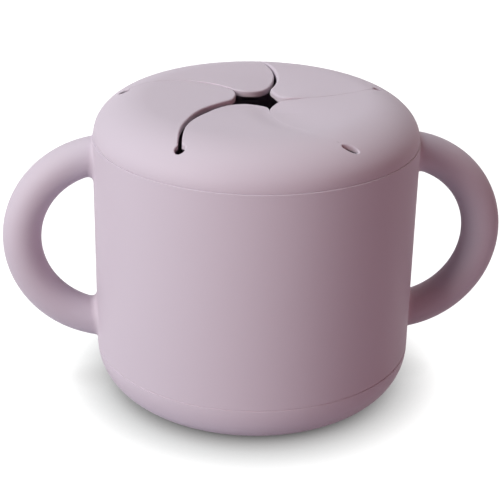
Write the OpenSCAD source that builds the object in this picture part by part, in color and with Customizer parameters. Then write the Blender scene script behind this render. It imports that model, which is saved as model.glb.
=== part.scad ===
// Toddler snack container: a silicone cup with two ring handles, and a flush lid with five curved flaps.
// Millimetres, +Z up, origin at the centre of the base, handles along X.

/* [Cup] */
// Diameter of the cup, and of the lid that sits flush on it
cup_d = 85; // [70:0.5:110]
// Height of the seam between the cup and the lid
seam_z = 70.4; // [66:0.1:110]
// Thickness of the cup's wall
wall = 2.6; // [1.8:0.1:3.5]
// Thickness of the cup's floor
floor_t = 3; // [2:0.1:5]
// Height of the large rounding at the foot
foot_h = 11.9; // [8:0.1:14]
// How far that rounding reaches in from the wall
foot_in = 11; // [8:0.1:16]
// Height of the fine parting line on top of the foot
parting_w = 0.4; // [0.2:0.1:1]
// Depth of that line
parting_depth = 0.15; // [0.1:0.05:0.3]

/* [Neck] */
// Height of the neck above the seam
neck_h = 4; // [3.6:0.1:4.6]
// Thickness of the neck
neck_t = 2; // [1.5:0.1:3]
// How far the bead stands out of the neck
bead_out = 0.4; // [0.2:0.1:0.6]
// Radial gap between the bead and the lip inside the lid's skirt
lip_gap = 0.15; // [0.1:0.05:0.3]
// Gap between the cup's shoulder and the lid's skirt
seam_gap = 0.3; // [0.2:0.05:0.4]

/* [Handles] */
// Diameter of the round bar
bar_d = 10.1; // [8:0.1:12]
// Space left between the bar and the seam above it
seam_margin = 0.25; // [0.2:0.05:4]
// Space left between the bar and the parting line below it
foot_margin = 1; // [0.2:0.1:4]
// How far the ring's centre lies inside the cup's surface
ring_inset = 4.6; // [2:0.1:10]
// Radius of the fillet where the bar meets the cup
root_fillet = 1.3; // [0.5:0.1:3]

/* [Lid] */
// Height of the lid above the seam
lid_h = 9.9; // [8.5:0.1:14]
// How far the lid's soft edge reaches in from its rim
edge_in = 14.1; // [12:0.1:17]
// Thickness of the skirt round the neck
skirt_t = 2.6; // [2.2:0.1:4]
// Thickness of the lid's top and of the flaps
top_t = 1.8; // [1.2:0.1:2.2]

/* [Flaps] */
// Direction of the first keyhole, counter-clockwise from +X
keyhole_turn = 15.6; // [0:0.1:72]
// Distance of the keyholes from the lid's rim
keyhole_inset = 5.5; // [5:0.1:7]
// Diameter of a keyhole
keyhole_d = 3; // [2:0.1:4]
// Distance of the star's points from the centre
star_r = 6.7; // [5.5:0.1:8.5]
// How far the star's points lie clockwise of the keyholes
star_lag = 25; // [18:1:30]
// How far the tip of a flap bulges into the star
tip_bulge = 0.8; // [0.4:0.1:1.2]
// How far a slit bows out of a straight line
slit_bow = 5; // [4:0.1:6]
// Width of a slit
slit_w = 0.3; // [0.2:0.05:0.5]
// How far a flap's hinge line lies inside the edge of the flat top
hinge_inset = 4.4; // [3:0.1:6]
// Gap behind a flap's root, where the silicone of the hinge would be
root_gap = 0.4; // [0.3:0.05:0.6]
// Length of the lid's small tooth beside a root, which keeps the root clear of the next flap
tooth = 1.8; // [1.2:0.1:2.4]

/* [Hidden] */

CUP_COLOUR = [0.76, 0.70, 0.74];
LID_COLOUR = [0.80, 0.75, 0.79];
FLAPS = 5;
step = 360 / FLAPS;
// Turn between two points of a rounded outline
arc_step = 5;
// Spare length and turn of a cut or a limit past what it acts on
spare = 5;
spare_turn = 10;
$fn = 96;

cup_r = cup_d / 2;
inner_r = cup_r - wall;
top_z = seam_z + lid_h;
skirt_z = seam_z + seam_gap;

// Neck, from the skirt inwards: lip, bead, neck
lip_r = cup_r - skirt_t;
bead_r = lip_r - lip_gap;
neck_r = bead_r - bead_out;
neck_in_r = neck_r - neck_t;
neck_top = seam_z + neck_h;
// The bead has a short flat between two ramps, and the neck's round top starts where the upper ramp ends
bead_flat = 0.2;
bead_ramp = 1.5 * bead_out;
bead_z = neck_top - neck_t / 2 - bead_ramp - bead_flat;
// Thickness of the shoulder inside the seam, above a cone that widens to the wall
shoulder_t = 1.6;

// The lip ends a little below the bead, and the groove above it takes the bead
lip_clear = 0.2;
lip_top = bead_z - bead_flat - bead_ramp - lip_clear;
lip_lead = 0.4;
groove_r = lip_r + bead_out;
groove_top = bead_z + bead_flat;
flat_r = cup_r - edge_in;
ceiling_z = top_z - top_t;

// The ring fills the height between the parting line and the seam less its margins, at the cup's surface
foot_top = foot_h + parting_w;
bar_r = bar_d / 2;
ring_x = cup_r - ring_inset;
ring_high = seam_z - seam_margin;
ring_low = foot_top + foot_margin;
ring_z = (ring_high + ring_low) / 2;
ring_r = norm([(ring_high - ring_low) / 2, ring_inset]) - bar_r;
// Turn, about the ring's centre, from the middle of the handle to where the bar's middle meets the cup
root_turn = acos(ring_inset / ring_r);
// The fillet starts this far inside the cup's surface, which curves away beside the bar, and it ends this far
// inside the bar
root_sink = 0.4;
bar_sink = 0.15;
flare_r = bar_r + root_fillet - bar_sink;

// The root is rounded about the hinge line, just inside the top's two faces
hinge_r = top_t / 2 - 0.05;
hinge_at = flat_r - hinge_inset;
hinge_z = top_z - top_t / 2;
keyhole_at = cup_r - keyhole_inset;

// One slit, with its keyhole on +X: a shallow arc that runs from a point of the star to the keyhole
slit_start = star_r * [cos(star_lag), -sin(star_lag)];
slit_end = [keyhole_at, 0];
slit_chord = norm(slit_end - slit_start);
chord_dir = (slit_end - slit_start) / slit_chord;
slit_r = slit_chord ^ 2 / (8 * slit_bow) + slit_bow / 2;
slit_centre = (slit_start + slit_end) / 2 + (slit_r - slit_bow) * [-chord_dir.y, chord_dir.x];
slit_sweep = 2 * asin(slit_chord / (2 * slit_r));
slit_from = atan2(slit_start.y - slit_centre.y, slit_start.x - slit_centre.x);

// End of a flap's root, in a frame whose X runs from the centre to the middle of the hinge line. It is where the
// next slit comes within a tooth's length of the hinge line, so that the root's end can be cut square
next_centre = [slit_centre.x * cos(step / 2) - slit_centre.y * sin(step / 2),
               slit_centre.x * sin(step / 2) + slit_centre.y * cos(step / 2)];
root_end = next_centre.y - sqrt((slit_r + slit_w / 2) ^ 2 - (hinge_at - tooth - next_centre.x) ^ 2);

// A flap's tip: an arc through two neighbouring points of the star
star_side = 2 * star_r * sin(step / 2);
star_spare = 1;
tip_r = star_side ^ 2 / (8 * tip_bulge) + tip_bulge / 2;
tip_at = star_r * cos(step / 2) - tip_bulge + tip_r;

// Points of a quarter ellipse round c, from straight above c to straight beside it
function quarter(c, w, h) = [for (a = [0:arc_step:90]) c + [w * sin(a), h * cos(a)]];
function backwards(points) = [for (i = [len(points) - 1:-1:0]) points[i]];
function keyhole_dir(k) = keyhole_turn + step * k;
function hinge_dir(k) = keyhole_dir(k) + step / 2;

// Outside of the cup up to the seam, from the centre of the base
function cup_outline() = concat([[0, 0]], quarter([cup_r - foot_in, foot_h], foot_in, -foot_h));

// Everything that the cup and the lid fill, as one plain blank
module cup_blank() {
    rotate_extrude() polygon(concat(cup_outline(), [[cup_r, top_z], [0, top_z]]));
}

// The shoulder, the neck with its bead, and the neck's round top
function neck_outline() = concat(
    [[cup_r, seam_z], [neck_r, seam_z],
     [neck_r, bead_z - bead_flat - bead_ramp], [bead_r, bead_z - bead_flat],
     [bead_r, bead_z + bead_flat], [neck_r, bead_z + bead_flat + bead_ramp]],
    [for (a = [0:15:180]) [neck_r - neck_t / 2, neck_top - neck_t / 2] + neck_t / 2 * [cos(a), sin(a)]]
);

// Inside of the cup, from the neck down to the centre of the floor
function cup_inside_outline() = concat(
    [[neck_in_r, seam_z - shoulder_t], [inner_r, seam_z - shoulder_t - (inner_r - neck_in_r)]],
    backwards(quarter([cup_r - foot_in, foot_h], foot_in - wall, floor_t - foot_h)),
    [[0, floor_t]]
);

function parting_outline() = [
    [cup_r - parting_depth, foot_h + parting_w / 2],
    [cup_r, foot_top]
];

module cup_body() {
    color(CUP_COLOUR) rotate_extrude()
        polygon(concat(cup_outline(), parting_outline(), neck_outline(), cup_inside_outline()));
}

// A collar round the bar, whose axis is on X, with a concave fillet towards the cup at x = 0. The fillet ends a
// little inside the bar, so that the two surfaces cross at a clear angle
module root_flare() {
    rotate([0, 90, 0]) rotate_extrude() difference() {
        translate([0, -spare]) square([flare_r, spare + root_fillet - root_sink]);
        translate([flare_r, root_fillet - root_sink]) circle(r = root_fillet);
    }
}

// side is 1 for the handle on +X and -1 for the one on -X
module handle(side) {
    reach = root_turn + spare_turn;
    color(CUP_COLOUR) mirror([side < 0 ? 1 : 0, 0, 0]) difference() {
        translate([ring_x, 0, ring_z]) {
            rotate([90, reach, 0]) rotate_extrude(angle = 2 * reach) translate([ring_r, 0]) circle(r = bar_r);
            for (end = [-1, 1]) rotate([0, -end * root_turn, 0]) translate([ring_r, 0, 0])
                rotate([0, 90 * end, 0]) root_flare();
        }
        cup_blank();
        // Nothing of the handle reaches past the seam, where the lid sits
        translate([0, -cup_r, seam_z]) cube([cup_d, cup_d, lid_h]);
    }
}

// Half section of the lid before it is cut: skirt, soft edge, top, and inside the dome, groove and lip
module lid_shell() {
    rotate_extrude() polygon(concat(
        [[0, ceiling_z], [0, top_z]],
        quarter([flat_r, skirt_z], edge_in, top_z - skirt_z),
        [[lip_r + lip_lead, skirt_z], [lip_r, skirt_z + lip_lead],
         [lip_r, lip_top], [groove_r, lip_top + bead_out]],
        backwards(quarter([flat_r, groove_top], groove_r - flat_r, ceiling_z - groove_top))
    ));
}

// A round blank whose edge follows slit k, so that the flap between two slits is one blank less the next
module slit_disc(k, r) {
    rotate(keyhole_dir(k)) translate(slit_centre) circle(r = r);
}

// The plane shape between slits k and k + 1 with its sides moved outwards by grow
module flap_sides(k, grow) {
    difference() {
        slit_disc(k, slit_r - slit_w / 2 + grow);
        slit_disc(k + 1, slit_r + slit_w / 2 - grow);
    }
}

// Everything on the centre's side of a line that is parallel to hinge k and lies at a distance
module inside_of(k, distance) {
    rotate(hinge_dir(k)) translate([-cup_r, -cup_r]) square([cup_r + distance, cup_d]);
}

// The corner between hinge k and the next slit, which stays on the lid. It is moved inwards by grow
module root_corner(k, grow) {
    rotate(hinge_dir(k)) translate([hinge_at - tooth + grow, root_end + grow]) square(cup_r);
}

module star_2d() {
    difference() {
        circle(r = star_r + star_spare);
        for (k = [1:FLAPS]) rotate(hinge_dir(k) - star_lag) translate([tip_at, 0]) circle(r = tip_r);
    }
}

// Takes a plane shape through the lid's top
module through_top() {
    translate([0, 0, skirt_z]) linear_extrude(lid_h + spare) children();
}

// The saw-thin curved slit k, which ends in its round keyhole
module slit(k) {
    rotate(keyhole_dir(k)) {
        translate([slit_centre.x, slit_centre.y, skirt_z]) rotate(slit_from)
            rotate_extrude(angle = slit_sweep)
                translate([slit_r - slit_w / 2, 0]) square([slit_w, lid_h + spare]);
        translate([keyhole_at, 0, skirt_z]) cylinder(d = keyhole_d, h = lid_h + spare);
    }
}

module lid_ring() {
    color(LID_COLOUR) difference() {
        lid_shell();
        for (k = [1:FLAPS]) {
            slit(k);
            through_top() difference() {
                intersection() {
                    flap_sides(k, slit_w);
                    inside_of(k, hinge_at + hinge_r + root_gap);
                }
                root_corner(k, slit_w);
            }
        }
        through_top() star_2d();
    }
}

module flap(k) {
    color(LID_COLOUR) intersection() {
        lid_shell();
        through_top() difference() {
            flap_sides(k, 0);
            root_corner(k, 0);
            star_2d();
        }
        union() {
            through_top() inside_of(k, hinge_at);
            // Round root, so that the flap can swing without its corners leaving their gap
            rotate(hinge_dir(k)) translate([hinge_at, 0, hinge_z]) rotate([90, 0, 0])
                cylinder(r = hinge_r, h = cup_d, center = true);
        }
    }
}

cup_body();
handle(-1);  // handle_left
handle(1);  // handle_right
lid_ring();
flap(1);  // flap_1
flap(2);  // flap_2
flap(3);  // flap_3
flap(4);  // flap_4
flap(5);  // flap_5
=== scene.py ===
import math

import bpy
import numpy as np
from mathutils import Matrix, Vector
from mathutils.geometry import delaunay_2d_cdt

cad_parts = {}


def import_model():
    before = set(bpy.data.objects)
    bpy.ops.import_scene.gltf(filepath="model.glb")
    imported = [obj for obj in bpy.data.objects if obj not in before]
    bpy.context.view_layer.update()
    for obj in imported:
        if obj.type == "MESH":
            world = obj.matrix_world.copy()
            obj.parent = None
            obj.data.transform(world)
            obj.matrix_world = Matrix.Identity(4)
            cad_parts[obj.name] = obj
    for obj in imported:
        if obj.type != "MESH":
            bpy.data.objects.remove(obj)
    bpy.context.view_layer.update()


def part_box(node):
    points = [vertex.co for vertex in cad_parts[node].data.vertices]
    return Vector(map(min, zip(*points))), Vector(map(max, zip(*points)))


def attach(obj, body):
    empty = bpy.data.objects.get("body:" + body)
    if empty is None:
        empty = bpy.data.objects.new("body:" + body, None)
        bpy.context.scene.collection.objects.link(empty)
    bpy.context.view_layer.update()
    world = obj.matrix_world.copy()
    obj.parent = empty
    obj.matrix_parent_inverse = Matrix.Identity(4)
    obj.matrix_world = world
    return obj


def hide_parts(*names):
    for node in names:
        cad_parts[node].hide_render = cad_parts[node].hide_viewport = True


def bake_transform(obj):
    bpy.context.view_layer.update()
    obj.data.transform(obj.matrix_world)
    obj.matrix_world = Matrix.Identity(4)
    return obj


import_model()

# The looks of a silicone snack container: one cup moulding with two ring handles, and a soft lid whose five
# flaps sag a little round a star opening. Shapes are worked out in millimetres and turned to metres when a mesh
# is made.
MM = 0.001
ring_low, ring_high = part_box("lid_ring")
cup_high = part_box("cup_body")[1]
bar_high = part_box("handle_right")[1]

# Sizes that the frame gives
CUP_R = ring_high.x / MM
SKIRT_Z = ring_low.z / MM
TOP_Z = ring_high.z / MM
NECK_TOP = cup_high.z / MM
REACH_X = bar_high.x / MM

# Cup, as in the CAD source
SEAM_GAP = 0.3
SEAM_Z = SKIRT_Z - SEAM_GAP
WALL = 2.6
FLOOR_T = 3.0
FOOT_H = 11.9
FOOT_IN = 11.0
NECK_R = 39.35
NECK_T = 2.0
SHOULDER_DROP = 1.6
BEAD_OUT = 0.4
BEAD_Z = 72.6
BEAD_FLAT = 0.2
BEAD_SLOPE = 1.5
# The parting line is a groove: the angle at which the foot's ellipse stops short of it, the heights of its lower
# edge and of its bed over the foot, and the radii of its corners
PARTING_W = 0.4
PARTING_DEPTH = 0.15
FOOT_END = 90.6
PARTING_EDGE = 0.02
PARTING_BED = (0.12, 0.3)
PARTING_ROUNDS = (0.02, 0.05, 0.05, 0.08)
# Radii of the corners from the wall under the seam, over the neck, to the wall inside
SEAM_ROUND = 0.2
STEP_ROUND = 0.2
BEAD_ROUNDS = (0.2, 0.15, 0.15, 0.1)
MOUTH_ROUND = NECK_T / 2 - 0.01
INSIDE_ROUNDS = (0.5, 0.8)

# Handles
BAR_R = 5.05
RING_INSET = 4.6
SEAM_MARGIN = 0.25
FOOT_MARGIN = 1.0
RING_X = CUP_R - RING_INSET
RING_Z = (SEAM_Z - SEAM_MARGIN + FOOT_H + PARTING_W + FOOT_MARGIN) / 2
RING_R = REACH_X - RING_X - BAR_R
# How far a root's fillet reaches along the cup and the bar: on the inside of the ring, by the handle's side, then
# on its outside at the top, where the seam is close, and at the bottom. It swells towards the inside.
FILLET_INSIDE = {1: 2.15, -1: 2.35}
FILLET_ON_CUP = {1: 0.05, -1: 0.55}
FILLET_ON_BAR = {1: 0.9, -1: 0.8}
FILLET_SWELL = 0.8

# Lid
DOME_IN = 14.1
FLAT_R = CUP_R - DOME_IN
# The soft skirt closes down on the cup's shoulder and lies a hair inside the cup's wall
LID_INSET = 0.24
LID_R = CUP_R - LID_INSET
EDGE_IN = LID_R - FLAT_R
SKIRT_END = SEAM_Z + 0.02
TOP_T = 1.8
LIP_R = 39.9
GROOVE_R = 40.3
LIP_TOP = 71.6
GROOVE_TOP = 72.8
SKIRT_ROUND = 0.05
LIP_ROUNDS = (0.3, 0.1, 0.1)

# Flaps
FLAPS = 5
STEP = 360 / FLAPS
KEYHOLE_TURN = 15.6
KEYHOLE_AT = 37.0
STAR_R = 6.7
STAR_LAG = 25.0
# The flaps are cut from the ring a little outside their hinge lines, where they don't move
CUT_AT = 26.0

# How the soft lid lies. A star's point and a keyhole stand outwards and turned from their regular places. A slit
# is open by star_gap at the star and by end_gap at the keyhole, and gapes between. For the flap before the slit
# (clockwise) and the one after it, sag is how far the flap's tip hangs, corner the length of its rounded corner,
# and soft the radius of its edge. level says how much the two flaps hold each other at one height along the slit,
# from 0 to 1. hole gives the keyhole's half axes along the slit and across it, and its tilt.
SLITS = {
    1: dict(point=(2.2, 5.0), keyhole=(0.0, 1.9), bow=4.8, star_gap=0.8, end_gap=0.08, gape=0.3,
            gape_at=0.22, sag=(1.0, 0.75), level=0.0, corner=(2.1, 1.2), soft=(0.8, 0.4), hole=(1.5, 1.5, 0)),
    2: dict(point=(1.6, -9.4), keyhole=(-1.7, 4.4), bow=6.6, star_gap=0.03, end_gap=0.015, gape=0.0,
            gape_at=0.5, sag=(0.25, 0.5), level=0.3, corner=(1.2, 3.45), soft=(0.25, 0.1), hole=(1.5, 1.2, 0)),
    3: dict(point=(-0.5, -22.3), keyhole=(0.45, 3.5), bow=3.8, star_gap=0.9, end_gap=0.95, gape=0.8,
            gape_at=0.35, sag=(0.5, 1.1), level=0.0, corner=(1.2, 2.9), soft=(0.4, 0.4), hole=(1.28, 1.28, 0)),
    4: dict(point=(-1.05, 18.6), keyhole=(0.5, -3.0), bow=5.35, star_gap=0.02, end_gap=0.012, gape=0.0,
            gape_at=0.5, sag=(1.37, 1.37), level=1.0, corner=(1.3, 1.6), soft=(0.03, 0.03), hole=(2.0, 0.85, 15)),
    5: dict(point=(-0.85, -1.4), keyhole=(-3.7, -3.1), bow=2.6, star_gap=0.03, end_gap=0.03, gape=0.45,
            gape_at=0.0, sag=(0.65, 0.2), level=0.0, corner=(1.1, 4.3), soft=(0.1, 0.3), hole=(1.1, 1.0, 0)),
}
# How far each flap's tip bulges into the star, or is drawn in, and the radius of its edge there
TIPS = {
    1: dict(bulge=1.5, soft=0.45),
    2: dict(bulge=0.25, soft=0.45),
    3: dict(bulge=1.9, soft=0.45),
    4: dict(bulge=0.28, soft=0.4),
    5: dict(bulge=-0.3, soft=0.8),
}
BEFORE, AFTER = 0, 1
KEYHOLE_SOFT = 0.4
# Share of a slit over which it gapes, and shares of a flap's free edge where its softness changes round the tip
GAPE_REACH = 0.16
SOFT_SHARES = (0, 0.42, 0.5, 0.58, 1)
# How fast the sag grows towards the tip, the share of the flap's length where it stops growing, how far it goes on
# past the flap's sides as a share of its width, and how far from a slit two flaps hold each other
SAG_CURVE = 1.5
SAG_PAST_TIP = 1.2
SAG_PAST_SIDE = 0.6
LEVEL_REACH = 3.5
# Height of the soft edge underneath, as a share of the one on top
UNDER_EDGE = 0.7

# Mesh fineness: counts of rows, steps and points, and the steps along the gap's edge and between grid points
AROUND = 192
WALL_ROWS = 24
TUB_ROWS = 16
FOOT_STEPS = 26
BOWL_STEPS = 20
DOME_STEPS = 14
UNDER_STEPS = 6
SMOOTH_REACH = 4
BAR_SIDES = 56
BAR_RINGS = 90
FILLET_STEPS = 7
PATCH_COLUMNS = 11
LOOP_STEP = 0.33
GRID_STEP = 1.15
HOLE_STEPS = 36
# Radii of the rings in the flat of the base and of the floor
FLAT_ROWS = (3.0, 20.0)
# Where the plain rows begin and end: over the parting line outside, over the foot and under the seam inside
WALL_FROM = 0.1
TUB_FROM = 1
TUB_TO = 6
# How far the wall's points stay from a handle's root
PATCH_CLEAR = 0.9
# Circle on which the flat plan of the lid joins its revolved rim
JOIN_R = 40.15
# Rows along the gap's edge: the share of the soft radius and the distance added, then how well a row's point has
# to keep its distance, and how far it stays from the cuts and the join
EDGE_ROWS = ((0.12, 0), (0.35, 0), (0.65, 0), (1.0, 0), (1.0, 0.45))
ROW_FIT = 0.97
ROW_CLEAR = 0.15
# Points on a cut: those near its ends, the first and last of the even ones, their step, and the test step
CUT_ENDS = (0.12, 0.3, 0.55, 0.9)
CUT_FIRST = 1.8
CUT_LAST = 1.7
CUT_STEP = 1.0
CUT_TEST_STEP = 0.2
# How far the grid's points stay from the join, the soft edge and the cuts, and the rows it needs beyond a square
GRID_OFF_JOIN = 0.6
GRID_OFF_EDGE = 0.9
GRID_OFF_CUTS = 0.5
GRID_MORE_ROWS = 6

# Silicone: its two pigment shades on the usual 0 to 255 scale, and its clouding, moulded grain and gloss
PIGMENT = (205, 189, 202)
PIGMENT_CLOUD = (203, 187, 200)
CLOUD_SCALE = 38
CLOUD_DETAIL = 3
GRAIN_SCALE = 2600
GRAIN_DETAIL = 2
GRAIN_STRENGTH = 0.06
GRAIN_HEIGHT = 0.0001
ROUGHNESS = (0.52, 0.62)
SPECULAR = 0.18
SHEEN = 0.04
SHEEN_ROUGHNESS = 0.5

# Camera, in millimetres and degrees
CAMERA_DISTANCE = 376.5
CAMERA_ELEVATION = 24.533
CAMERA_AZIMUTH = 5.935
CAMERA_ROLL = 1.1916
CAMERA_AIM = (-1.082, 0, 37.015)
SENSOR_W = 36
LENS = 100.47

# Floor: how light it is to the object and to thrown shadows, and its painted contact shadow: a glow that is
# dimmed by the share of open sky over it
FLOOR_SIZE = 4.0
FLOOR_BOUNCE = (0.48, 0.47, 0.54, 1)
FLOOR_THROWN = 0.12
PAINTED_CONTACT_REACH = 0.015
PAINTED_CONTACT_LIGHT = 1.06
PAINTED_CONTACT_DARK = 0.03

# Soft boxes, in metres, degrees and watts: name, azimuth from +X, elevation, size, power and colour
LAMP_DISTANCE = 1.2
LAMP_AIM = 0.05
LAMPS = [
    ("key_left", 213, 25, 0.7, 12.3, (0.995, 1.0, 0.955)),
    ("top_left", 180, 70, 0.5, 5.9, (0.81, 0.98, 1.0)),
    ("rim_back", 45, 55, 0.7, 2.85, (1.0, 0.93, 0.83)),
    ("warm_front", 315, 8, 0.7, 2.2, (1.0, 0.22, 0.22)),
    ("low_back", 90, 8, 0.7, 1.0, (1.0, 0.8, 0.95)),
]


def polar(radius, degrees):
    angle = np.radians(degrees)
    return np.stack([radius * np.cos(angle), radius * np.sin(angle)], -1)


def unit(vectors):
    return vectors / np.linalg.norm(vectors, axis=-1, keepdims=True)


def keyhole_dir(k):
    return KEYHOLE_TURN + STEP * k


def hinge_dir(k):
    return keyhole_dir(k) + STEP / 2


class Shell:
    """Points, outward normals and faces of one closed surface, in millimetres."""

    def __init__(self):
        self.points = []
        self.normals = []
        self.faces = []

    def add(self, points, normals, faces):
        """Adds a patch whose faces index its own points."""
        first = len(self.points)
        self.points += [tuple(p) for p in points]
        self.normals += [tuple(n) for n in normals]
        self.faces += [tuple(first + i for i in face) for face in faces]

    def welded(self):
        """Points, normals and faces with the points that coincide made one and the unused ones dropped."""
        used = sorted({i for face in self.faces for i in face})
        places = {}
        points = []
        normals = []
        number = {}
        for i in used:
            key = tuple(round(c, 4) + 0.0 for c in self.points[i])
            if key not in places:
                places[key] = len(points)
                points.append(self.points[i])
                normals.append(self.normals[i])
            number[i] = places[key]
        faces = []
        for face in self.faces:
            corners = [number[i] for i in face]
            corners = [c for n, c in enumerate(corners) if c != corners[n - 1]]
            if len(corners) > 2:
                faces.append(corners)
        return points, normals, faces

    def piece(self, name, material):
        """Makes the object."""
        points, normals, faces = self.welded()
        mesh = bpy.data.meshes.new(name)
        mesh.from_pydata([[c * MM for c in p] for p in points], [], faces)
        mesh.polygons.foreach_set("use_smooth", [True] * len(mesh.polygons))
        mesh.materials.append(material)
        mesh.normals_split_custom_set_from_vertices(normals)
        mesh.update()
        made = bpy.data.objects.new(name, mesh)
        bpy.context.scene.collection.objects.link(made)
        return made


def corner(before, at, after, radius, steps=4):
    """Rounds a corner of a profile. Returns rows of (r, z, tangent r, tangent z)."""
    before, at, after = (np.array(p, float) for p in (before, at, after))
    into, out = unit(at - before), unit(after - at)
    turn = math.atan2(into[0] * out[1] - into[1] * out[0], into @ out)
    reach = radius * math.tan(abs(turn) / 2)
    left = np.array([-into[1], into[0]]) * math.copysign(1, turn)
    centre = at - into * reach + left * radius
    rows = []
    for step in range(steps + 1):
        angle = turn * step / steps
        c, s = math.cos(angle), math.sin(angle)
        spoke = -left * radius
        spoke = np.array([c * spoke[0] - s * spoke[1], s * spoke[0] + c * spoke[1]])
        along = np.array([c * into[0] - s * into[1], s * into[0] + c * into[1]])
        rows.append([*(centre + spoke), *along])
    return rows


def ellipse(centre, width, height, first, last, steps):
    """Part of an ellipse, by the angle from straight above its centre towards +r."""
    way = math.copysign(1, last - first)
    rows = []
    for angle in np.radians(np.linspace(first, last, steps + 1)):
        s, c = math.sin(angle), math.cos(angle)
        along = unit(np.array([width * c, -height * s])) * way
        rows.append([centre[0] + width * s, centre[1] + height * c, *along])
    return rows


def chain(points, radii, steps=4):
    """Rounded corners for the inner points of a chain."""
    rows = []
    for n in range(1, len(points) - 1):
        rows += corner(points[n - 1], points[n], points[n + 1], radii[n - 1], steps)
    return rows


def revolve(shell, rows, keep=lambda row, column: True, poles=(None, None)):
    """Turns a profile about the Z axis. Its material lies to the left of its travel."""
    rows = np.array(rows)
    angle = 2 * np.pi * np.arange(AROUND) / AROUND
    c, s = np.cos(angle), np.sin(angle)
    points = []
    normals = []
    for r, z, tr, tz in rows:
        points += list(zip(r * c, r * s, [z] * AROUND))
        normals += list(zip(tz * c, tz * s, [-tr] * AROUND))
    faces = []
    for i in range(len(rows) - 1):
        for j in range(AROUND):
            if keep(i, j):
                n = (j + 1) % AROUND
                faces.append((i * AROUND + j, i * AROUND + n, (i + 1) * AROUND + n, (i + 1) * AROUND + j))
    for end, z in zip((0, len(rows) - 1), poles):
        if z is not None:
            way = -1 if end == 0 else 1
            points.append((0, 0, z))
            normals.append((0, 0, way))
            for j in range(AROUND):
                pair = (end * AROUND + j, end * AROUND + (j + 1) % AROUND)
                faces.append((*pair[::way], len(points) - 1))
    shell.add(points, normals, faces)


def triangulate(points, chains, epsilon=1e-6):
    """Delaunay triangles of plane points, with every chain of point numbers kept as edges."""
    edges = [(a, b) for line in chains for a, b in zip(line[:-1], line[1:])]
    made = delaunay_2d_cdt([Vector(p) for p in points], edges, [], 0, epsilon)
    origin = [ids[0] if ids else -1 for ids in made[3]]
    if -1 in origin:
        raise ValueError("two of the lid's lines cross")
    return [tuple(origin[i] for i in face) for face in made[2]]


def inside(points, outline):
    """Which of the plane points lie in a closed outline."""
    a, b = outline, np.roll(outline, -1, 0)
    found = np.zeros(len(points), bool)
    for (ax, ay), (bx, by) in zip(a, b):
        if ay == by:
            continue
        spans = (points[:, 1] > ay) != (points[:, 1] > by)
        found ^= spans & (points[:, 0] < ax + (points[:, 1] - ay) * (bx - ax) / (by - ay))
    return found


# The cup moulding: tub, foot, parting line, shoulder, neck and inside, then the two ring handles

def wall_rows():
    """Profile rows of the plain wall, from the parting line to the rounding under the seam."""
    low, high = FOOT_H + PARTING_W + WALL_FROM, SEAM_Z - SEAM_ROUND
    return [[CUP_R, z, 0.0, 1.0] for z in np.linspace(low, high, WALL_ROWS)]


def cup_profile():
    """Rows from the centre of the base, up the outside, over the neck and down to the centre of the floor."""
    foot_centre = (CUP_R - FOOT_IN, FOOT_H)
    deep = CUP_R - PARTING_DEPTH
    inner = CUP_R - WALL
    bore = NECK_R - NECK_T
    bead = NECK_R + BEAD_OUT
    ramp = BEAD_SLOPE * BEAD_OUT
    bed_low, bed_high = (FOOT_H + rise for rise in PARTING_BED)
    shoulder = SEAM_Z - SHOULDER_DROP
    base = [[r, 0.0, 1.0, 0.0] for r in FLAT_ROWS]
    foot = ellipse(foot_centre, FOOT_IN, FOOT_H, 180, FOOT_END, FOOT_STEPS)
    parting = chain([foot[-1][:2], (CUP_R, FOOT_H + PARTING_EDGE), (deep, bed_low), (deep, bed_high),
                     (CUP_R, FOOT_H + PARTING_W), (CUP_R, SEAM_Z)], PARTING_ROUNDS, 2)
    wall = wall_rows()
    neck = chain([(CUP_R, FOOT_H + PARTING_W), (CUP_R, SEAM_Z), (NECK_R, SEAM_Z),
                  (NECK_R, BEAD_Z - BEAD_FLAT - ramp), (bead, BEAD_Z - BEAD_FLAT), (bead, BEAD_Z + BEAD_FLAT),
                  (NECK_R, BEAD_Z + BEAD_FLAT + ramp), (NECK_R, NECK_TOP), (bore, NECK_TOP),
                  (bore, shoulder), (inner, shoulder - inner + bore), (inner, FOOT_H)],
                 (SEAM_ROUND, STEP_ROUND, *BEAD_ROUNDS, MOUTH_ROUND, MOUTH_ROUND, *INSIDE_ROUNDS))
    tub = [[inner, z, 0.0, -1.0] for z in np.linspace(SEAM_Z - TUB_TO, FOOT_H + TUB_FROM, TUB_ROWS)]
    bowl = ellipse(foot_centre, FOOT_IN - WALL, FOOT_H - FLOOR_T, 90, 180, BOWL_STEPS)
    floor = [[r, FLOOR_T, -1.0, 0.0] for r in FLAT_ROWS[::-1]]
    return base, foot + parting, wall, neck + tub + bowl + floor


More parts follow.
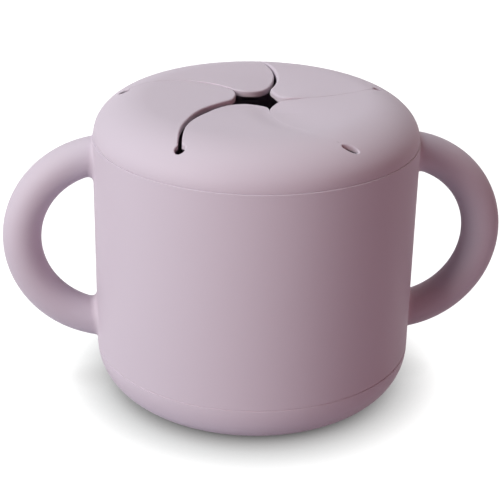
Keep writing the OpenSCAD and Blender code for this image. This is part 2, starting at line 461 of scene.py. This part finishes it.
def root_lines(end, side):
    """Where the bar meets the cup: for each line along the bar, its start on the bar (turn about the ring), the
    point where bar and cup cross, where the fillet lands on the cup, and how far it reaches along each. end is 1
    at the top and -1 at the bottom."""
    beta = 2 * np.pi * np.arange(BAR_SIDES) / BAR_SIDES
    y = BAR_R * np.sin(beta)
    radius = RING_R + BAR_R * np.cos(beta)
    hit_x = np.sqrt(CUP_R ** 2 - y ** 2)
    turn = np.arccos((hit_x - RING_X) / radius)
    hit = np.stack([hit_x, y, RING_Z + radius * np.sin(turn)], -1)
    bar_out = np.stack([np.cos(beta) * np.cos(turn), np.sin(beta), np.cos(beta) * np.sin(turn)], -1)
    cup_out = unit(hit * [1, 1, 0])
    away = unit(bar_out - cup_out * (bar_out * cup_out).sum(-1, keepdims=True))
    # The fillet dies out towards the seam above the root and the parting line below it
    swell = ((1 - np.cos(beta)) / 2) ** FILLET_SWELL
    on_cup = FILLET_ON_CUP[end] + (FILLET_INSIDE[side] - FILLET_ON_CUP[end]) * swell
    on_bar = FILLET_ON_BAR[end] + (FILLET_INSIDE[side] - FILLET_ON_BAR[end]) * swell
    land = hit + away * on_cup[:, None]
    land *= CUP_R / np.hypot(land[:, 0], land[:, 1])[:, None] ** np.array([1, 1, 0])
    land[:, 2] = hit[:, 2] + away[:, 2] * on_cup
    start = turn - on_bar / radius
    flip = np.array([side, 1, 1])
    for spot in (hit, land):
        spot[:, 2] = RING_Z + end * (spot[:, 2] - RING_Z)
        spot *= flip
    return beta, start, hit, land, on_cup, on_bar


def bar_points(beta, turn, side):
    """Points and normals of the bar at one turn per line."""
    spread = np.stack([np.cos(beta) * np.cos(turn), np.sin(beta), np.cos(beta) * np.sin(turn)], -1)
    middle = np.stack([RING_X + RING_R * np.cos(turn), 0 * turn, RING_Z + RING_R * np.sin(turn)], -1)
    flip = np.array([side, 1, 1])
    return (middle + BAR_R * spread) * flip, spread * flip


def loft(shell, rings, flipped):
    """Joins closed rings of (points, normals) with quads."""
    count = len(rings[0][0])
    points = np.concatenate([r[0] for r in rings])
    normals = np.concatenate([r[1] for r in rings])
    faces = []
    for i in range(len(rings) - 1):
        for j in range(count):
            n = (j + 1) % count
            face = (i * count + j, i * count + n, (i + 1) * count + n, (i + 1) * count + j)
            faces.append(face[::-1] if flipped else face)
    shell.add(points, normals, faces)


def handle(shell, side):
    """One ring handle with its fillets. Returns the loops where they land on the cup's wall."""
    rings = []
    landings = []
    for end in (1, -1):
        beta, start, hit, land, on_cup, on_bar = root_lines(end, side)
        bar, bar_out = bar_points(beta, end * start, side)
        cup_out = unit(land * [1, 1, 0])
        blend = []
        for u in np.linspace(0, 1, FILLET_STEPS + 1):
            points = (1 - u) ** 2 * land + 2 * u * (1 - u) * hit + u ** 2 * bar
            if u == 0:
                points = land
            normals = unit((1 - u) * on_cup[:, None] * cup_out + u * on_bar[:, None] * bar_out)
            blend.append((points, normals))
        landings.append(land)
        if end == 1:
            rings += blend
            for share in np.linspace(1, -1, BAR_RINGS + 1)[1:-1]:
                rings.append(bar_points(beta, share * start, side))
        else:
            rings += blend[::-1]
    loft(shell, rings, side > 0)
    return landings


def wall_patch(shell, side, landings):
    """The wall round a handle's two roots, on a window of the revolved grid."""
    levels = np.array([row[1] for row in wall_rows()])
    columns = np.arange(-PATCH_COLUMNS, PATCH_COLUMNS + 1)
    flat_x = columns * 2 * np.pi / AROUND * CUP_R
    outer = [(x, levels[0]) for x in flat_x] + [(flat_x[-1], z) for z in levels[1:]]
    outer += [(x, levels[-1]) for x in flat_x[-2::-1]] + [(flat_x[0], z) for z in levels[-2:0:-1]]
    loops = [np.array(outer)]
    for land in landings:
        turn = np.arctan2(land[:, 1] * side, land[:, 0] * side)
        loops.append(np.stack([turn * CUP_R, land[:, 2]], -1))
    spots = []
    for z in levels[1:-1]:
        for x in flat_x[1:-1]:
            near = min(np.hypot(*(loop - [x, z]).T).min() for loop in loops[1:])
            if near > PATCH_CLEAR and not any(inside(np.array([[x, z]]), loop)[0] for loop in loops[1:]):
                spots.append((x, z))
    chains = []
    first = 0
    for loop in loops:
        chains.append([*range(first, first + len(loop)), first])
        first += len(loop)
    flat = np.concatenate([*loops, np.array(spots)])
    faces = triangulate(flat, chains)
    middles = flat[np.array(faces)].mean(1)
    holes = inside(middles, loops[1]) | inside(middles, loops[2])
    faces = [face for face, hole in zip(faces, holes) if not hole]
    turn = flat[:, 0] / CUP_R + (0 if side > 0 else np.pi)
    points = np.stack([CUP_R * np.cos(turn), CUP_R * np.sin(turn), flat[:, 1]], -1)
    # The loops' own points come back exactly, so that the patches weld
    first = len(outer)
    for land in landings:
        order = range(first, first + len(land))
        points[order] = land
        first += len(land)
    shell.add(points, unit(points * [1, 1, 0]), faces)


def cup_moulding(material):
    shell = Shell()
    base, foot, wall, rest = cup_profile()
    rows = base + foot + wall + rest
    first, last = len(base + foot), len(base + foot + wall) - 1

    def keep(row, column):
        from_side = (column + PATCH_COLUMNS) % (AROUND // 2)
        return not (first <= row < last and from_side < 2 * PATCH_COLUMNS)

    revolve(shell, rows, keep, (0.0, FLOOR_T))
    for side in (1, -1):
        landings = handle(shell, side)
        wall_patch(shell, side, landings)
    return shell.piece("cup_moulding", material)


# The lid: the plane outline of its slits, keyholes and star, then heights over that plan

def star_point(k):
    out, turn = SLITS[k]["point"]
    return polar(STAR_R + out, keyhole_dir(k) - STAR_LAG + turn)


def slit_line(k, count=400):
    """Middle line of slit k, from the star to its keyhole, with the direction away from its own centre, and the
    keyhole's centre."""
    here = SLITS[k]
    start = star_point(k)
    out, turn = here["keyhole"]
    end = polar(KEYHOLE_AT + out, keyhole_dir(k) + turn)
    chord = np.linalg.norm(end - start)
    along = (end - start) / chord
    radius = chord ** 2 / (8 * here["bow"]) + here["bow"] / 2
    centre = (start + end) / 2 + (radius - here["bow"]) * np.array([-along[1], along[0]])
    first = math.atan2(start[1] - centre[1], start[0] - centre[0])
    sweep = 2 * math.asin(chord / (2 * radius))
    outward = polar(1, np.degrees(first + sweep * np.linspace(0, 1, count)))
    return centre + radius * outward, outward, end


def hole_axes(k):
    """The keyhole's two half axes as plane vectors. The first lies along the slit's end, but for its tilt."""
    along, across, tilt = SLITS[k]["hole"]
    _, outward, _ = slit_line(k)
    turn = math.radians(tilt)
    c, s = math.cos(turn), math.sin(turn)
    side = outward[-1] @ np.array([[c, s], [-s, c]])
    return along * np.array([-side[1], side[0]]), across * side


def hole_place(k, points):
    """Plane points in units of the keyhole's half axes, from its centre."""
    first, second = hole_axes(k)
    away = points - slit_line(k)[2]
    return np.stack([away @ first / (first @ first), away @ second / (second @ second)], -1)


def slit_side(k, way):
    """Side of slit k, from the star to the edge of its keyhole. way is 1 before the slit and -1 after it."""
    here = SLITS[k]
    line, outward, _ = slit_line(k)
    share = np.linspace(0, 1, len(line))
    bump = np.exp(-((share - here["gape_at"]) / GAPE_REACH) ** 2)
    half = (here["star_gap"] * (1 - share) + here["end_gap"] * share + here["gape"] * bump) / 2
    side = line + way * half[:, None] * outward
    clear = np.hypot(*hole_place(k, side).T) >= 1
    return side[:np.argmin(clear) if not clear.all() else len(side)]


def tip_line(first, last, bulge, count=60):
    """Tip of a flap: an arc that bulges towards the centre, or away from it where the bulge is negative."""
    chord = np.linalg.norm(last - first)
    along = (last - first) / chord
    radius = chord ** 2 / (8 * bulge) + bulge / 2
    inward = np.array([-along[1], along[0]])
    centre = (first + last) / 2 - (radius - bulge) * inward
    half = math.asin(chord / (2 * radius))
    share = np.linspace(-half, half, count)
    return centre + radius * (np.cos(share)[:, None] * inward + np.sin(share)[:, None] * along)


def trimmed(path, cut):
    """The path without its first stretch."""
    run = np.concatenate([[0], np.cumsum(np.hypot(*np.diff(path, axis=0).T))])
    left = path[run > cut]
    return np.concatenate([[[np.interp(cut, run, path[:, 0]), np.interp(cut, run, path[:, 1])]], left])


def rounded_join(first, second, cut):
    """Two paths that meet, with their corner rounded over a stretch of each."""
    a = trimmed(first[::-1], cut)[::-1]
    b = trimmed(second, cut)
    u = np.linspace(0, 1, 16)[1:-1, None]
    bend = (1 - u) ** 2 * a[-1] + 2 * u * (1 - u) * first[-1] + u ** 2 * b[0]
    return np.concatenate([a, bend, b])


def resampled(path, step):
    run = np.concatenate([[0], np.cumsum(np.hypot(*np.diff(path, axis=0).T))])
    spots = np.linspace(0, run[-1], max(2, round(run[-1] / step)) + 1)
    return np.stack([np.interp(spots, run, path[:, 0]), np.interp(spots, run, path[:, 1])], -1)


def flap_edge(k):
    """Free edge of flap k, from its own keyhole round the tip to the next keyhole."""
    following = k % FLAPS + 1
    own, other = slit_side(k, -1)[::-1], slit_side(following, 1)
    tip = tip_line(own[-1], other[0], TIPS[k]["bulge"])
    path = rounded_join(own, tip, SLITS[k]["corner"][AFTER])
    return rounded_join(path, other, SLITS[following]["corner"][BEFORE])


def gap_loop():
    """The one closed outline of star, slits and keyholes, with the gap on its left: points, the flap that each
    one belongs to (0 at a keyhole), and the radius of its soft edge."""
    points = []
    flaps = []
    softness = []
    for k in range(1, FLAPS + 1):
        following = k % FLAPS + 1
        path = resampled(flap_edge(k), LOOP_STEP)
        share = np.linspace(0, 1, len(path))
        soft = np.interp(share, SOFT_SHARES,
                         [SLITS[k]["soft"][AFTER], SLITS[k]["soft"][AFTER], TIPS[k]["soft"],
                          SLITS[following]["soft"][BEFORE], SLITS[following]["soft"][BEFORE]])
        ends = hole_place(following, np.array([path[-1], slit_side(following, -1)[-1]]))
        first, last = np.arctan2(ends[:, 1], ends[:, 0])
        last -= 2 * math.pi if last > first else 0
        turns = np.linspace(first, last, HOLE_STEPS + 1)[1:-1, None]
        long, short = hole_axes(following)
        arc = slit_line(following)[2] + np.cos(turns) * long + np.sin(turns) * short
        points += [path, arc]
        flaps += [k] * len(path) + [0] * len(arc)
        softness += [*soft, *[KEYHOLE_SOFT] * len(arc)]
    return np.concatenate(points), np.array(flaps), smoothed(np.array(softness), SMOOTH_REACH)


def smoothed(values, reach):
    """Running mean round a closed loop."""
    return sum(np.roll(values, n) for n in range(-reach, reach + 1)) / (2 * reach + 1)


def loop_normals(loop):
    """Unit directions from the gap into the silicone."""
    along = np.roll(loop, -1, 0) - np.roll(loop, 1, 0)
    return unit(np.stack([along[:, 1], -along[:, 0]], -1))


def nearest(points, loop, softness):
    """For plane points: distance to the loop, direction to it and the softness there."""
    a, b = loop, np.roll(loop, -1, 0)
    edge = b - a
    length = (edge ** 2).sum(-1)
    later = np.roll(softness, -1)
    far = np.empty(len(points))
    way = np.empty((len(points), 2))
    soft = np.empty(len(points))
    for n, p in enumerate(points):
        u = np.clip(((p - a) * edge).sum(-1) / length, 0, 1)
        gap = a + u[:, None] * edge - p
        square = (gap ** 2).sum(-1)
        best = square.argmin()
        far[n] = math.sqrt(square[best])
        way[n] = gap[best] / max(far[n], 1e-9)
        soft[n] = softness[best] * (1 - u[best]) + later[best] * u[best]
    return far, way, soft


def flap_sag(k, points):
    """How far flap k hangs below the flat lid at each plane point."""
    following = k % FLAPS + 1
    forward = polar(1, hinge_dir(k))
    sideways = np.array([-forward[1], forward[0]])
    tip = CUT_AT - STAR_R * math.cos(math.radians(STEP / 2))
    share = np.clip((CUT_AT - points @ forward) / tip, 0, SAG_PAST_TIP)
    first = star_point(k) @ sideways
    last = star_point(following) @ sideways
    at = np.clip((points @ sideways - first) / (last - first), -SAG_PAST_SIDE, 1 + SAG_PAST_SIDE)
    low = SLITS[k]["sag"][AFTER] * (1 - at) + SLITS[following]["sag"][BEFORE] * at
    return np.clip(low, 0, None) * share ** SAG_CURVE


def lid_sag(points, flaps):
    """How far each plane point hangs. Flaps that press on each other at a slit are drawn to one height there."""
    sag = np.zeros(len(points))
    for k in range(1, FLAPS + 1):
        mine = flaps == k
        here = points[mine]
        own = flap_sag(k, here)
        for slit, other in ((k, (k - 2) % FLAPS + 1), (k % FLAPS + 1, k % FLAPS + 1)):
            level = SLITS[slit]["level"] / 2
            if level:
                line = slit_line(slit)[0][::8]
                near = np.hypot(*(here[:, None] - line).transpose(2, 0, 1)).min(1)
                own += level * np.exp(-(near / LEVEL_REACH) ** 2) * (flap_sag(other, here) - own)
        sag[mine] = own
    return sag


def top_height(points):
    x = np.clip((np.hypot(*points.T) - FLAT_R) / EDGE_IN, 0, 1)
    return SKIRT_Z + (TOP_Z - SKIRT_Z) * np.sqrt(1 - x ** 2)


def under_height(points):
    x = np.clip((np.hypot(*points.T) - FLAT_R) / (GROOVE_R - FLAT_R), 0, 1)
    return GROOVE_TOP + (TOP_Z - TOP_T - GROOVE_TOP) * np.sqrt(1 - x ** 2)


def slope_normals(height, points, flaps):
    """Upward normals of a height over the plan."""
    step = 0.05
    rise = []
    for axis in np.eye(2) * step:
        ahead = height(points + axis) - lid_sag(points + axis, flaps)
        behind = height(points - axis) - lid_sag(points - axis, flaps)
        rise.append((ahead - behind) / (2 * step))
    return unit(np.stack([-rise[0], -rise[1], np.ones(len(points))], -1))


def rim_rows():
    """Profile of the rim, from the join on top, round the skirt, to the join under the dome."""
    out_first = math.degrees(math.asin((JOIN_R - FLAT_R) / EDGE_IN))
    in_last = math.degrees(math.asin((JOIN_R - FLAT_R) / (GROOVE_R - FLAT_R)))
    outer = ellipse((FLAT_R, SKIRT_Z), EDGE_IN, TOP_Z - SKIRT_Z, out_first, 90, DOME_STEPS)
    skirt = chain([outer[-1][:2], (LID_R, SKIRT_END), (LIP_R, SKIRT_END), (LIP_R, LIP_TOP),
                   (GROOVE_R, LIP_TOP + BEAD_OUT), (GROOVE_R, GROOVE_TOP)], (SKIRT_ROUND, *LIP_ROUNDS))
    inner = ellipse((FLAT_R, GROOVE_TOP), GROOVE_R - FLAT_R, TOP_Z - TOP_T - GROOVE_TOP, 90, in_last,
                    UNDER_STEPS)
    rows = outer + skirt + inner
    # The profile of the lid runs the other way round than the cup's, so its tangents are turned
    return [[r, z, -tr, -tz] for r, z, tr, tz in rows][::-1]


def flap_outlines(loop, flaps):
    """For each flap, the outline of its side of the plan, closed by a line between its keyholes."""
    return {k: loop[flaps == k] for k in range(1, FLAPS + 1)}


def cut_line(loop, flaps, k):
    """Numbers of the two loop points where flap k is cut from the ring."""
    mine = np.flatnonzero(flaps == k)
    reach = loop[mine] @ polar(1, hinge_dir(k))
    half = len(mine) // 2
    return mine[np.abs(reach[:half] - CUT_AT).argmin()], mine[half + np.abs(reach[half:] - CUT_AT).argmin()]


def lid_plan():
    """The lid from above: its points with the flap each belongs to, its triangles with the piece each goes to
    (0 is the ring), and the gap's outline with its softness. The outline's points come first, then the join's."""
    loop, flaps, softness = gap_loop()
    normals = loop_normals(loop)
    circle = polar(JOIN_R, 360 * np.arange(AROUND) / AROUND)
    points = [loop, circle]
    owners = [flaps, np.zeros(AROUND, int)]
    chains = [[*range(len(loop)), 0], [*range(len(loop), len(loop) + AROUND), len(loop)]]
    outlines = flap_outlines(loop, flaps)
    cuts = {}
    total = len(loop) + AROUND
    cut_points = []
    for k in range(1, FLAPS + 1):
        a, b = cut_line(loop, flaps, k)
        length = np.hypot(*(loop[b] - loop[a]))
        near = np.array(CUT_ENDS)
        run = np.concatenate([near, np.arange(CUT_FIRST, length - CUT_LAST, CUT_STEP), length - near[::-1]])
        spots = loop[a] + (loop[b] - loop[a]) * (run / length)[:, None]
        cuts[k] = [a, *range(total, total + len(spots)), b]
        chains.append(cuts[k])
        total += len(spots)
        points.append(spots)
        owners.append(np.full(len(spots), k))
        cut_points.append(resampled(np.array([loop[a], loop[b]]), CUT_TEST_STEP))
    cut_points = np.concatenate(cut_points)

    def off_cuts(spots, gap):
        return np.array([np.hypot(*(cut_points - p).T).min() > gap for p in spots], bool)

    # Rows that follow the gap's edge, close together where the edge is round
    for share, extra in EDGE_ROWS:
        offset = share * softness + extra
        row = loop + normals * offset[:, None]
        far, _, _ = nearest(row, loop, softness)
        fits = (far > ROW_FIT * offset) & off_cuts(row, ROW_CLEAR) & (np.hypot(*row.T) < JOIN_R - ROW_CLEAR)
        points.append(row[fits])
        owners.append(flaps[fits])
    # Between the edges lies a grid of even triangles
    columns = int(JOIN_R / GRID_STEP) + 2
    rows = columns + GRID_MORE_ROWS
    grid = np.array([((i + 0.5 * (j % 2)) * GRID_STEP, j * GRID_STEP * math.sqrt(0.75))
                     for i in range(-columns, columns) for j in range(-rows, rows + 1)])
    grid = grid[np.hypot(*grid.T) < JOIN_R - GRID_OFF_JOIN]
    far, _, soft = nearest(grid, loop, softness)
    grid = grid[(far > soft + GRID_OFF_EDGE) & off_cuts(grid, GRID_OFF_CUTS) & ~inside(grid, loop)]
    owner = np.zeros(len(grid), int)
    for k, outline in outlines.items():
        owner[inside(grid, outline)] = k
    points.append(grid)
    owners.append(owner)
    points = np.concatenate(points)
    owners = np.concatenate(owners)
    faces = triangulate(points, chains)
    middles = points[np.array(faces)].mean(1)
    solid = ~inside(middles, loop) & (np.hypot(*middles.T) < JOIN_R)
    faces = np.array(faces)[solid]
    middles = middles[solid]
    body = np.zeros(len(faces), int)
    for k, outline in outlines.items():
        a, b = (points[cuts[k][n]] for n in (0, -1))
        across = np.array([(b - a)[1], -(b - a)[0]])
        inner = (middles - a) @ across
        centre = -a @ across
        body[inside(middles, outline) & (inner * centre > 0)] = k
    return points, owners, faces, body, loop, softness


def lid_pieces(material):
    """The ring and the five flaps, which share their points along the cuts."""
    plan, owners, faces, body, loop, softness = lid_plan()
    far, way, soft = nearest(plan, loop, softness)
    count = len(loop)

    def on_join(number):
        return count <= number < count + AROUND

    far[:count] = 0
    way[:count] = -loop_normals(loop)
    sag = lid_sag(plan, owners)
    share = np.clip((soft - far) / soft, 0, 1)
    edge = soft * (1 - np.sqrt(1 - share ** 2))
    lean = np.concatenate([way * share[:, None], np.zeros((len(plan), 1))], -1)
    upright = np.sqrt(1 - share ** 2)[:, None]
    top = np.concatenate([plan, (top_height(plan) - sag - edge)[:, None]], -1)
    under = np.concatenate([plan, (under_height(plan) - sag + UNDER_EDGE * edge)[:, None]], -1)
    top_out = unit(lean + upright * slope_normals(top_height, plan, owners))
    under_out = unit(lean - upright * slope_normals(under_height, plan, owners))
    lid_parts = {}
    for k in range(FLAPS + 1):
        shell = Shell()
        mine = faces[body == k]
        shell.add(top, top_out, [tuple(f) for f in mine])
        shell.add(under, under_out, [tuple(f[::-1]) for f in mine])
        edges = {(a, b) for f in mine for a, b in zip(f, np.roll(f, -1))}
        walls = []
        for a, b in sorted(edges):
            if (b, a) not in edges and not (on_join(a) and on_join(b)):
                walls.append((a, a + len(plan), b + len(plan), b))
        shell.add(np.concatenate([top, under]), np.concatenate([top_out, under_out]), walls)
        if k == 0:
            revolve(shell, rim_rows())
        lid_parts[k] = shell.piece(f"flap_{k}_soft" if k else "lid_ring_soft", material)
    return lid_parts


def silicone(name):
    """Matte food-grade silicone: a soft sheen, faint cloudiness in the pigment and a fine moulded grain."""
    material = bpy.data.materials.new(name)
    material.use_nodes = True
    nodes, links = material.node_tree.nodes, material.node_tree.links
    shader = nodes["Principled BSDF"]
    place = nodes.new("ShaderNodeTexCoord")
    cloud = nodes.new("ShaderNodeTexNoise")
    cloud.inputs["Scale"].default_value = CLOUD_SCALE
    cloud.inputs["Detail"].default_value = CLOUD_DETAIL
    mix = nodes.new("ShaderNodeMixRGB")
    mix.inputs["Color1"].default_value = (*linear(*PIGMENT), 1)
    mix.inputs["Color2"].default_value = (*linear(*PIGMENT_CLOUD), 1)
    grain = nodes.new("ShaderNodeTexNoise")
    grain.inputs["Scale"].default_value = GRAIN_SCALE
    grain.inputs["Detail"].default_value = GRAIN_DETAIL
    bump = nodes.new("ShaderNodeBump")
    bump.inputs["Strength"].default_value = GRAIN_STRENGTH
    bump.inputs["Distance"].default_value = GRAIN_HEIGHT
    rough = nodes.new("ShaderNodeMapRange")
    rough.inputs["To Min"].default_value = ROUGHNESS[0]
    rough.inputs["To Max"].default_value = ROUGHNESS[1]
    for texture in (cloud, grain):
        links.new(place.outputs["Object"], texture.inputs["Vector"])
    links.new(cloud.outputs["Fac"], mix.inputs["Fac"])
    links.new(mix.outputs["Color"], shader.inputs["Base Color"])
    links.new(grain.outputs["Fac"], bump.inputs["Height"])
    links.new(bump.outputs["Normal"], shader.inputs["Normal"])
    links.new(grain.outputs["Fac"], rough.inputs["Value"])
    links.new(rough.outputs["Result"], shader.inputs["Roughness"])
    shader.inputs["Specular IOR Level"].default_value = SPECULAR
    shader.inputs["Sheen Weight"].default_value = SHEEN
    shader.inputs["Sheen Roughness"].default_value = SHEEN_ROUGHNESS
    return material


def linear(red, green, blue):
    """A colour given on the usual 0 to 255 scale."""
    return [(c / 255 / 12.92 if c <= 10 else ((c / 255 + 0.055) / 1.055) ** 2.4) for c in (red, green, blue)]


def camera():
    """The photograph's viewpoint, which also looks a little from one side."""
    elevation = math.radians(CAMERA_ELEVATION)
    azimuth = math.radians(CAMERA_AZIMUTH)
    roll = math.radians(CAMERA_ROLL)
    back = Vector((0, -math.cos(elevation), math.sin(elevation)))
    right = Vector((1, 0, 0))
    up = back.cross(right)
    turned_right = right * math.cos(roll) + up * math.sin(roll)
    turned_up = up * math.cos(roll) - right * math.sin(roll)
    around = Matrix.Rotation(-azimuth, 4, "Z")
    matrix = Matrix((turned_right, turned_up, back)).transposed().to_4x4()
    matrix.translation = (Vector(CAMERA_AIM) + back * CAMERA_DISTANCE) * MM
    data = bpy.data.cameras.new("camera")
    data.sensor_width = SENSOR_W
    data.lens = LENS
    data.clip_start = 0.01
    data.clip_end = 20
    made = bpy.data.objects.new("camera", data)
    made.matrix_world = around @ matrix
    bpy.context.scene.collection.objects.link(made)
    bpy.context.scene.camera = made


def any_ray(nodes, links, *names):
    """A value of 1 for rays of the named kinds and 0 for all others."""
    ray = nodes.new("ShaderNodeLightPath")
    found = ray.outputs[names[0]]
    for name in names[1:]:
        either = nodes.new("ShaderNodeMath")
        either.operation = "MAXIMUM"
        links.new(found, either.inputs[0])
        links.new(ray.outputs[name], either.inputs[1])
        found = either.outputs[0]
    return found


def floor():
    """A plain pale floor, seen as a white glow with a painted contact shadow under the foot, where ambient
    occlusion dims the glow, and a light share of the shadows that the lamps throw. What it sends back to
    the object is weaker, as from a darker floor."""
    mesh = bpy.data.meshes.new("floor")
    corners = [(-FLOOR_SIZE, -FLOOR_SIZE, 0), (FLOOR_SIZE, -FLOOR_SIZE, 0),
               (FLOOR_SIZE, FLOOR_SIZE, 0), (-FLOOR_SIZE, FLOOR_SIZE, 0)]
    mesh.from_pydata(corners, [], [(0, 1, 2, 3)])
    material = bpy.data.materials.new("floor_white")
    material.use_nodes = True
    nodes, links = material.node_tree.nodes, material.node_tree.links
    nodes.clear()
    out = nodes.new("ShaderNodeOutputMaterial")
    bounce = nodes.new("ShaderNodeBsdfDiffuse")
    bounce.inputs["Color"].default_value = FLOOR_BOUNCE
    thrown = nodes.new("ShaderNodeBsdfDiffuse")
    thrown.inputs["Color"].default_value = (FLOOR_THROWN, FLOOR_THROWN, FLOOR_THROWN, 1)
    # Painted contact shadow: ambient occlusion dims the floor's white glow under the foot
    painted_contact_shadow = nodes.new("ShaderNodeAmbientOcclusion")
    painted_contact_shadow.inputs["Distance"].default_value = PAINTED_CONTACT_REACH
    level = nodes.new("ShaderNodeMath")
    level.operation = "MULTIPLY_ADD"
    level.inputs[1].default_value = PAINTED_CONTACT_LIGHT
    level.inputs[2].default_value = PAINTED_CONTACT_DARK
    white = nodes.new("ShaderNodeEmission")
    both = nodes.new("ShaderNodeAddShader")
    pick = nodes.new("ShaderNodeMixShader")
    links.new(painted_contact_shadow.outputs["AO"], level.inputs[0])
    links.new(level.outputs[0], white.inputs["Strength"])
    links.new(thrown.outputs[0], both.inputs[0])
    links.new(white.outputs[0], both.inputs[1])
    links.new(any_ray(nodes, links, "Is Camera Ray", "Is Glossy Ray", "Is Transmission Ray"), pick.inputs[0])
    links.new(bounce.outputs[0], pick.inputs[1])
    links.new(both.outputs[0], pick.inputs[2])
    links.new(pick.outputs[0], out.inputs["Surface"])
    mesh.materials.append(material)
    made = bpy.data.objects.new("floor", mesh)
    bpy.context.scene.collection.objects.link(made)


def world():
    """White where it is seen, also in gloss, and dark as a light: the lamps alone light the object."""
    made = bpy.data.worlds.new("studio")
    bpy.context.scene.world = made
    made.use_nodes = True
    nodes, links = made.node_tree.nodes, made.node_tree.links
    nodes.clear()
    out = nodes.new("ShaderNodeOutputWorld")
    white = nodes.new("ShaderNodeBackground")
    white.inputs["Color"].default_value = (1, 1, 1, 1)
    links.new(any_ray(nodes, links, "Is Camera Ray", "Is Glossy Ray", "Is Transmission Ray"),
              white.inputs["Strength"])
    links.new(white.outputs[0], out.inputs["Surface"])


def lamp(name, azimuth, elevation, size, power, colour):
    """A square soft box that faces the object. Azimuth 0 stands on +X, and 90 on +Y."""
    data = bpy.data.lights.new(name, "AREA")
    data.shape = "SQUARE"
    data.size = size
    data.energy = power
    data.color = colour
    made = bpy.data.objects.new(name, data)
    a, e = math.radians(azimuth), math.radians(elevation)
    away = Vector((math.cos(a) * math.cos(e), math.sin(a) * math.cos(e), math.sin(e)))
    made.location = Vector((0, 0, LAMP_AIM)) + away * LAMP_DISTANCE
    made.rotation_mode = "QUATERNION"
    made.rotation_quaternion = away.to_track_quat("Z", "Y")
    bpy.context.scene.collection.objects.link(made)


camera()
floor()
world()
for name, azimuth, elevation, size, power, colour in LAMPS:
    lamp(name, azimuth, elevation, size, power, colour)
bpy.context.scene.view_settings.view_transform = "Standard"

cup_silicone = silicone("cup_silicone")
lid_silicone = silicone("lid_silicone")

cup = cup_moulding(cup_silicone)
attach(cup, "cup")
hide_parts("cup_body", "handle_left", "handle_right")

lid = lid_pieces(lid_silicone)
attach(lid[0], "lid")
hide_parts("lid_ring")
for k in range(1, FLAPS + 1):
    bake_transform(lid[k])
    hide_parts(f"flap_{k}")
